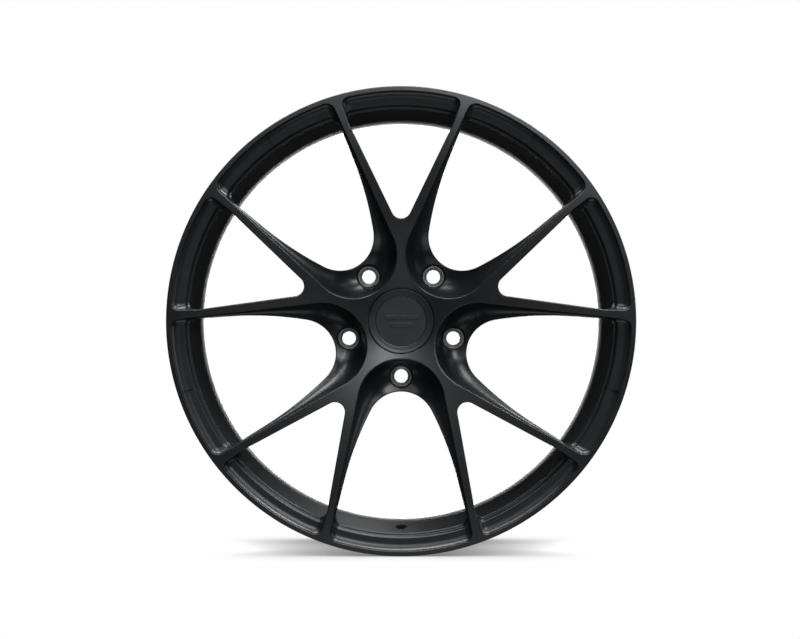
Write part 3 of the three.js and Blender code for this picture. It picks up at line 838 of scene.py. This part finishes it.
def new_material(name, base, roughness, metallic=0.0):
    material = bpy.data.materials.new(name)
    material.use_nodes = True
    shader = material.node_tree.nodes["Principled BSDF"]
    shader.inputs["Base Color"].default_value = (*base, 1)
    shader.inputs["Roughness"].default_value = roughness
    shader.inputs["Metallic"].default_value = metallic
    return material, material.node_tree, shader


def noise(tree, scale, detail=3.0):
    coordinates = tree.nodes.new("ShaderNodeTexCoord")
    texture = tree.nodes.new("ShaderNodeTexNoise")
    texture.inputs["Scale"].default_value = scale
    texture.inputs["Detail"].default_value = detail
    tree.links.new(coordinates.outputs["Object"], texture.inputs["Vector"])
    return texture.outputs["Fac"]


def spread(tree, value, low, high):
    """value, from 0 to 1, spread over low to high."""
    node = tree.nodes.new("ShaderNodeMapRange")
    node.inputs["To Min"].default_value = low
    node.inputs["To Max"].default_value = high
    tree.links.new(value, node.inputs["Value"])
    return node.outputs["Result"]


def add_bump(tree, shader, height, strength, distance):
    bump = tree.nodes.new("ShaderNodeBump")
    bump.inputs["Strength"].default_value = strength
    bump.inputs["Distance"].default_value = distance
    tree.links.new(height, bump.inputs["Height"])
    tree.links.new(bump.outputs["Normal"], shader.inputs["Normal"])


def finish_detail(tree, shader, base, mottle_scale, rough_range, bump_scale, bump_strength):
    """Slight changes of colour and gloss over the surface, and a fine relief."""
    mottle = noise(tree, mottle_scale, 4.0)
    mix = tree.nodes.new("ShaderNodeMixRGB")
    mix.inputs["Color1"].default_value = (*[c * 0.85 for c in base], 1)
    mix.inputs["Color2"].default_value = (*[c * 1.15 for c in base], 1)
    tree.links.new(mottle, mix.inputs["Fac"])
    tree.links.new(mix.outputs["Color"], shader.inputs["Base Color"])
    tree.links.new(spread(tree, mottle, *rough_range), shader.inputs["Roughness"])
    add_bump(tree, shader, noise(tree, bump_scale, 2.0), bump_strength, 0.0002)


def detailed_material(name, base, rough_range, metallic, mottle_scale, bump_scale, bump_strength):
    material, tree, shader = new_material(name, base, rough_range[0], metallic)
    finish_detail(tree, shader, base, mottle_scale, rough_range, bump_scale, bump_strength)
    return material


def lathe_marks(material, scale, strength):
    """Fine rings about the piece's own Y axis, as a lathe leaves them, in place of the fine relief."""
    tree = material.node_tree
    shader = tree.nodes["Principled BSDF"]
    coordinates = tree.nodes.new("ShaderNodeTexCoord")
    rings = tree.nodes.new("ShaderNodeTexWave")
    rings.wave_type = "RINGS"
    rings.rings_direction = "Y"
    rings.inputs["Scale"].default_value = scale
    rings.inputs["Distortion"].default_value = 0.4
    tree.links.new(coordinates.outputs["Object"], rings.inputs["Vector"])
    add_bump(tree, shader, rings.outputs["Fac"], strength, 0.0001)
    return material


# Base colour, roughness from and to, metallic, size of the mottle, size and strength of the fine relief.
paint = detailed_material(
    "satin_black_paint", (0.0085, 0.0095, 0.0105), (0.29, 0.37), 0.0, 60.0, 700.0, 0.03
)
plastic = detailed_material("cap_plastic", (0.010, 0.011, 0.012), (0.33, 0.42), 0.0, 90.0, 800.0, 0.05)
badge_plastic = detailed_material(
    "badge_plastic", (0.013, 0.0145, 0.016), (0.36, 0.46), 0.0, 120.0, 900.0, 0.06
)
steel = detailed_material("seat_steel", (0.46, 0.47, 0.48), (0.40, 0.52), 0.9, 300.0, 1500.0, 0.05)
spring_wire = detailed_material("spring_steel", (0.38, 0.39, 0.40), (0.28, 0.40), 1.0, 500.0, 1800.0, 0.08)
rubber = detailed_material("rubber", (0.010, 0.010, 0.010), (0.62, 0.78), 0.0, 400.0, 1200.0, 0.25)
lathe_marks(steel, 900.0, 0.25)
lathe_marks(badge_plastic, 500.0, 0.06)


def radius_of(points):
    return np.hypot(points[:, 0], points[:, 2])


def depth_of(points):
    return points[:, 1] - FRONT


def spoke_of(points):
    """Which spoke each point belongs to, counted clockwise from the top."""
    turns = np.arctan2(points[:, 0], points[:, 2]) / (2 * HALF_TURN)
    return np.round(turns).astype(int) % SPOKES


def lug_bores():
    """The counterbores behind the lug seats and the bolt holes."""
    profile = [
        (SEAT_HOLE, POCKET_FLOOR),
        (SEAT_HOLE, SEAT_BACK + 0.3),
        (BOLT_HOLE_RADIUS, SEAT_BACK + 0.3),
        (BOLT_HOLE_RADIUS, BOLT_FACE),
    ]
    bore = turned(profile, steps=60, centre=(0, BOLT_CIRCLE))
    return joined(bore.turned_by(HALF_TURN * (2 * i + 1)) for i in range(SPOKES))


def hub_bore():
    seat_edge = float(dish(CAP_SEAT_RADIUS)) + 0.6
    profile = [
        (CAP_SEAT_RADIUS, seat_edge),
        (CAP_SEAT_RADIUS, CAP_SEAT_DEPTH),
        (BORE_RADIUS, CAP_SEAT_DEPTH),
        (BORE_RADIUS, BOLT_FACE - 1.0),
    ]
    return turned(profile)


def make_forging():
    face = face_surface()
    wedge = joined([face, back_surface(), window_walls(face)])
    copies = [
        wedge.turned_by(2 * HALF_TURN * i, mirrored)
        for i in range(SPOKES)
        for mirrored in (False, True)
    ]
    plan_part = joined(copies)
    outside = ring_profile(outer_profile(), outer_cone)
    inside = ring_profile(inner_profile(), inner_cone)
    barrel = joined([outside, inside, valve_hole()])
    hub = plan_part.where(lambda p: radius_of(p) < HUB_RADIUS)
    to_piece("forged_hub", joined([hub, lug_bores(), hub_bore()]), paint, "wheel", ["hub"])
    arms = plan_part.where(lambda p: (radius_of(p) > HUB_RADIUS) & (radius_of(p) < RING_RADIUS))
    for i in range(SPOKES):
        spoke = arms.where(lambda p: spoke_of(p) == i)
        to_piece(f"forged_spoke_{i + 1}", spoke, paint, "wheel", [f"spoke_{i + 1}"])
    lip = plan_part.where(lambda p: radius_of(p) > RING_RADIUS)
    zones = {
        "outer_flange": (0, RING_END),
        "drop_centre": (RING_END, WELL_END + 5),
        "inner_barrel": (WELL_END + 5, REAR_START),
        "inner_flange": (REAR_START, RIM_WIDTH + 1),
    }
    for node, (start, end) in zones.items():
        zone = barrel.where(lambda p: (depth_of(p) > start) & (depth_of(p) < end))
        if node == "outer_flange":
            zone.join(lip)
        to_piece(f"forged_{node}", zone, paint, "wheel", [node])


def make_seats():
    """Steel ball seats, each drawn about its own origin."""
    ball = 14.0
    mouth, bore = SEAT_RADIUS - 1.2, 8.2
    top = SEAT_TOP
    drop = math.sqrt(ball**2 - mouth**2)
    bowl = [(r, top + 0.5 + math.sqrt(ball**2 - r * r) - drop) for r in np.linspace(mouth, bore + 0.3, 12)]
    profile = [(SEAT_RADIUS, SEAT_BACK), (SEAT_RADIUS, top + 0.4), (SEAT_RADIUS - 0.4, top)]
    profile += [(mouth + 0.3, top), *bowl, (bore, bowl[-1][1] + 0.5)]
    profile += [(bore, SEAT_BACK), (SEAT_RADIUS, SEAT_BACK)]
    seat = turned(profile[::-1], steps=72, centre=(0, BOLT_CIRCLE))
    for i in range(SPOKES):
        angle = HALF_TURN * (2 * i + 1)
        origin = (BOLT_CIRCLE * math.sin(angle), FRONT + SEAT_TOP, BOLT_CIRCLE * math.cos(angle))
        name = f"ball_seat_{i + 1}"
        to_piece(name, seat.turned_by(angle), steel, "wheel", [f"lug_seat_{i + 1}"], origin)


def rounded_profile(points, radius):
    """A profile with its inner corners rounded by about radius."""
    rounded = [points[0]]
    for before, corner, after in zip(points, points[1:], points[2:]):
        before, corner, after = (np.array(p, float) for p in (before, corner, after))
        back = (before - corner) / np.linalg.norm(before - corner)
        ahead = (after - corner) / np.linalg.norm(after - corner)
        room = 0.45 * min(np.linalg.norm(before - corner), np.linalg.norm(after - corner))
        reach = min(radius, room)
        for t in (0, 0.25, 0.5, 0.75, 1):
            rounded.append(tuple(corner + back * reach * (1 - t) ** 2 + ahead * reach * t**2))
    return rounded + [points[-1]]


CAP_BACK = CAP_SEAT_DEPTH - JOIN_GAP
CAP_RING_RADIUS = 34.2
CAP_RING_DEPTH = CAP_FACE + 0.9
CAP_RECESS = CAP_FACE + 1.4
CAP_CEILING = BADGE_BACK + 2.8
SKIRT_OUTER = BORE_RADIUS - 0.5
SKIRT_INNER = SKIRT_OUTER - 3.6
GROOVE_START = CAP_BACK + 1.0
GROOVE_END = GROOVE_START + 2.4
GROOVE_RADIUS = SKIRT_OUTER - 1.9
SLOT_START = GROOVE_END + 0.9
SLOTS = 8
SLOT_HALF_STEPS = 4

BADGE_TOP = CAP_RECESS + 0.2
BARS = ((17.0, 4.4), (11.0, -4.4))  # half length between the end arcs' centres, and height
BAR_HALF_WIDTH = 2.4
BAR_RISE = 0.6


def in_slot(step):
    """Whether a step of the turned skirt lies in one of the slots between the fingers."""
    spacing = TURN_STEPS // SLOTS
    return (step + SLOT_HALF_STEPS) % spacing < 2 * SLOT_HALF_STEPS


def cap_surface():
    """The cap's face, edge and clip fingers."""
    wall = BADGE_RADIUS + JOIN_GAP
    front = [
        (wall, BADGE_BACK + JOIN_GAP),
        (wall, CAP_RECESS),
        (CAP_RING_RADIUS, CAP_RING_DEPTH),
        (CAP_RADIUS, CAP_FACE - 0.1),
        (CAP_RADIUS, CAP_BACK),
        (SKIRT_OUTER, CAP_BACK),
    ]
    front = rounded_profile(front, 0.6)
    groove = [(SKIRT_OUTER, CAP_BACK), (SKIRT_OUTER, GROOVE_START), (GROOVE_RADIUS, GROOVE_START)]
    groove += [(GROOVE_RADIUS, GROOVE_END), (SKIRT_OUTER, GROOVE_END), (SKIRT_OUTER, SLOT_START)]
    fingers = [(SKIRT_OUTER, SLOT_START), (SKIRT_OUTER, CAP_END - 1.8), (SKIRT_OUTER - 0.9, CAP_END)]
    fingers += [(SKIRT_INNER, CAP_END), (SKIRT_INNER, SLOT_START)]
    inside = [(SKIRT_INNER, SLOT_START), (SKIRT_INNER, CAP_CEILING), (0.01, CAP_CEILING)]
    slotted = turned(fingers, skipped=lambda segment, step: in_slot(step))
    slot_tops = turned(
        [(SKIRT_OUTER, SLOT_START), (SKIRT_INNER, SLOT_START)],
        skipped=lambda segment, step: not in_slot(step),
    )
    return joined([turned(front), turned(groove), slotted, slot_tops, turned(inside), *slot_sides(fingers)])


def slot_sides(fingers):
    """The flat sides of the clip fingers."""
    for step in range(TURN_STEPS):
        starts, ends = in_slot(step) and not in_slot(step - 1), not in_slot(step) and in_slot(step - 1)
        if starts or ends:
            angle = 2 * math.pi * step / TURN_STEPS
            sin, cos = math.sin(angle), math.cos(angle)
            points = [(radius * sin, FRONT + depth, radius * cos) for radius, depth in fingers]
            out = 1 if starts else -1
            order = range(len(points)) if starts else range(len(points) - 1, -1, -1)
            yield Surface().add(points, [(out * cos, 0, -out * sin)] * len(points), [tuple(order)])


def bar_surface(half_length, height):
    """A raised bar with round ends and rounded top edges, standing on the badge."""
    insets = [(0, BADGE_TOP + 0.1), (0, BADGE_TOP - BAR_RISE + 0.35)]
    insets += [
        (0.35 * (1 - math.cos(t)), BADGE_TOP - BAR_RISE + 0.35 * (1 - math.sin(t)))
        for t in np.linspace(0, math.pi / 2, 5)[1:]
    ]
    turns = np.radians(np.linspace(-90, 90, 15))
    count = 2 * len(turns)
    points, normals, faces = [], [], []
    for row, (inset, depth) in enumerate(insets):
        lift = min(max((row - 1) / (len(insets) - 2), 0), 1) * math.pi / 2
        for end, base in ((1, 0), (-1, math.pi)):
            for turn in turns:
                across, up = math.cos(turn + base), math.sin(turn + base)
                reach = BAR_HALF_WIDTH - inset
                points.append((end * half_length + reach * across, FRONT + depth, height + reach * up))
                normals.append((across * math.cos(lift), -math.sin(lift), up * math.cos(lift)))
        if row:
            first = (row - 1) * count
            faces += [
                (first + i, first + (i + 1) % count, first + (i + 1) % count + count, first + i + count)
                for i in range(count)
            ]
    faces.append(tuple(range((len(insets) - 1) * count, len(insets) * count)))
    return Surface().add(points, normals, faces)


def badge_surface():
    disc = [(0.01, BADGE_TOP), (BADGE_RADIUS - 1.6, BADGE_TOP), (BADGE_RADIUS, BADGE_TOP - 0.15)]
    disc += [(BADGE_RADIUS, BADGE_BACK), (0.01, BADGE_BACK)]
    return joined([turned(rounded_profile(disc, 0.3)), *[bar_surface(*bar) for bar in BARS]])


def make_cap():
    to_piece("cap_shell", cap_surface(), plastic, "cap", ["cap_body"])
    to_piece("cap_disc", badge_surface(), badge_plastic, "cap", ["cap_badge"])
    spring = turned(arc_points(SPRING_RADIUS, SPRING_DEPTH, SPRING_WIRE, 0, 360, 20), sharp=60)
    to_piece("spring_wire", spring, spring_wire, "cap", ["cap_spring_ring"])
    ring = turned(arc_points(O_RING_RADIUS, O_RING_DEPTH, O_RING_WIRE, 0, 360, 20), sharp=60)
    to_piece("rubber_ring", ring, rubber, "cap", ["cap_o_ring"])


make_forging()
make_seats()
make_cap()


# ---------------------------------------------------------------- camera, lights and stage

FOCAL_LENGTH = 112.3
CAMERA_DISTANCE = 2.9


def aimed(name, data, place, target):
    """A camera or a light at a place, looking at a target."""
    holder = bpy.data.objects.new(name, data)
    holder.location = place
    holder.rotation_euler = (Vector(target) - Vector(place)).to_track_quat("-Z", "Y").to_euler()
    bpy.context.scene.collection.objects.link(holder)
    return holder


def make_camera():
    camera = bpy.data.cameras.new("camera")
    camera.lens = FOCAL_LENGTH
    camera.sensor_width = 36.0
    camera.clip_end = 100
    front = FRONT * MM
    holder = aimed("camera", camera, (0, front - CAMERA_DISTANCE, -0.017), (-0.0013, front, 0.0017))
    bpy.context.scene.camera = holder


def softbox(name, direction, distance, width, height, power):
    """A soft light that shines on the wheel from a direction and can't be seen itself."""
    light = bpy.data.lights.new(name, "AREA")
    light.shape = "RECTANGLE"
    light.size = width
    light.size_y = height
    light.energy = power
    light.color = LIGHT_TINT
    place = Vector(direction).normalized() * distance
    aimed(name, light, place, (0, 0, 0)).visible_camera = False


def stage_plane(name, corners, strength, painted_shadow_reach):
    """A flat white glowing sheet. If a reach is given, a painted contact shadow darkens it where something
    stands closer to it than that reach.
    """
    mesh = bpy.data.meshes.new(name)
    mesh.from_pydata(corners, [], [(0, 1, 2, 3)])
    material = bpy.data.materials.new(name)
    material.use_nodes = True
    tree = material.node_tree
    tree.nodes.clear()
    glow = tree.nodes.new("ShaderNodeEmission")
    glow.inputs["Strength"].default_value = strength
    output = tree.nodes.new("ShaderNodeOutputMaterial")
    tree.links.new(glow.outputs["Emission"], output.inputs["Surface"])
    # Painted contact shadow: ambient occlusion dims the glow near the wheel, in place of a shadow cast by the
    # lamps.
    if painted_shadow_reach:
        painted_contact_shadow = tree.nodes.new("ShaderNodeAmbientOcclusion")
        painted_contact_shadow.inputs["Distance"].default_value = painted_shadow_reach
        painted_contact_shadow.samples = 8
        tree.links.new(spread(tree, painted_contact_shadow.outputs["AO"], 0.1, 1.0), glow.inputs["Strength"])
    mesh.materials.append(material)
    sheet = bpy.data.objects.new(name, mesh)
    bpy.context.scene.collection.objects.link(sheet)
    return sheet


def make_stage():
    floor_z = -RIM_RADIUS * MM
    corners = [(-6, -6, floor_z), (6, -6, floor_z), (6, 2.2, floor_z), (-6, 2.2, floor_z)]
    # The floor glows evenly white, with a painted contact shadow under the wheel that reaches 0.085 m.
    floor = stage_plane("floor", corners, 1.0, 0.085)
    floor.visible_diffuse = False
    floor.visible_glossy = False
    floor.visible_shadow = False
    half = 0.42
    corners = [(-half, 2.5, -half), (half, 2.5, -half), (half, 2.5, half), (-half, 2.5, half)]
    backdrop = stage_plane("backdrop", corners, 8.0, 0)
    backdrop.visible_camera = False


def make_world():
    """White where the camera looks past the wheel, and a dim even light on the wheel."""
    world = bpy.data.worlds.new("studio")
    bpy.context.scene.world = world
    world.use_nodes = True
    tree = world.node_tree
    seen = tree.nodes.new("ShaderNodeLightPath")
    strength = tree.nodes.new("ShaderNodeMapRange")
    strength.inputs["To Min"].default_value = AMBIENT
    strength.inputs["To Max"].default_value = 1.0
    tree.links.new(seen.outputs["Is Camera Ray"], strength.inputs["Value"])
    background = tree.nodes["Background"]
    background.inputs["Color"].default_value = (1, 1, 1, 1)
    tree.links.new(strength.outputs["Result"], background.inputs["Strength"])
    world.cycles.sampling_method = "NONE"
    bpy.context.scene.view_settings.view_transform = "Standard"


LIGHT_TINT = (0.93, 0.98, 1.0)
AMBIENT = 0.03

# Direction, distance, width, height, power.
SOFTBOXES = {
    "front_key": ((0.20, -0.86, 0.46), 2.2, 0.7, 0.55, 17.0),
    "front_left": ((-0.17, -0.84, 0.52), 2.2, 0.9, 0.5, 4.0),
    "above": ((0.1, -0.10, 0.99), 1.8, 2.0, 0.7, 65.0),
    "above_right": ((0.5, -0.05, 0.86), 1.8, 0.8, 0.5, 42.0),
    "above_left": ((-0.5, -0.05, 0.86), 1.8, 0.8, 0.5, 16.0),
    "upper_right": ((0.62, -0.25, 0.74), 2.0, 1.0, 0.7, 12.0),
    "right": ((0.97, -0.2, 0.15), 2.0, 0.7, 1.0, 5.0),
    "low_front": ((0.0, -0.93, -0.37), 2.2, 1.0, 0.5, 1.8),
    "below": ((0.0, -0.41, -0.91), 1.8, 1.6, 0.6, 5.0),
    "behind": ((0.3, 0.5, 0.8), 2.2, 1.6, 1.0, 18.0),
}

make_camera()
make_world()
make_stage()
for name, values in SOFTBOXES.items():
    softbox(name, *values)
